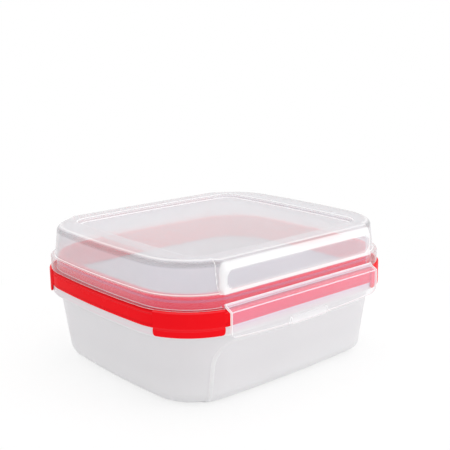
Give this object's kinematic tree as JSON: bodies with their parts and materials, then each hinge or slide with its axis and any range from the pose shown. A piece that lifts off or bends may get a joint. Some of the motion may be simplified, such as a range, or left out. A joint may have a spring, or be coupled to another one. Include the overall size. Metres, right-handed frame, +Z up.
{
  "type": "food storage container",
  "caption": "Rectangular food container: milky drafted tub, red sealing frame with corner lift tabs, clear raised lid and clear hinged locking flaps front and back",
  "frame": {"origin": "centre of the footprint on the surface the tub rests on", "axes": "+Z up, the front flap faces -Y, the long side runs along X"},
  "size_m": [0.2032, 0.1848, 0.0938],
  "materials": {
    "milky_plastic": "satin translucent moulded plastic",
    "red_plastic": "gloss moulded plastic",
    "gasket": "soft matt silicone",
    "clear_plastic": "clear gloss moulded plastic"
  },
  "bodies": {
    "tub": {"base_tray": "milky_plastic"},
    "frame": {"seal_frame": "red_plastic", "lower_gasket": "gasket", "upper_gasket": "gasket"},
    "lid": {"dome_lid": "clear_plastic"},
    "flap_front": {"front_flap": "clear_plastic"},
    "flap_rear": {"rear_flap": "clear_plastic"}
  },
  "joints": [
    {"name": "frame_lift", "type": "slide", "parent": "tub", "child": "frame", "axis": [0, 0, 1], "range_m": [0, 0.06]},
    {"name": "lid_lift", "type": "slide", "parent": "frame", "child": "lid", "axis": [0, 0, 1], "range_m": [0, 0.06]},
    {"name": "front_flap_hinge", "type": "hinge", "parent": "lid", "child": "flap_front", "pos_m": [0, -0.0866, 0.067], "axis": [-1, 0, 0], "range_deg": [0, 115]},
    {"name": "rear_flap_hinge", "type": "hinge", "parent": "lid", "child": "flap_rear", "pos_m": [0, 0.0866, 0.067], "axis": [1, 0, 0], "range_deg": [0, 115]}
  ]
}
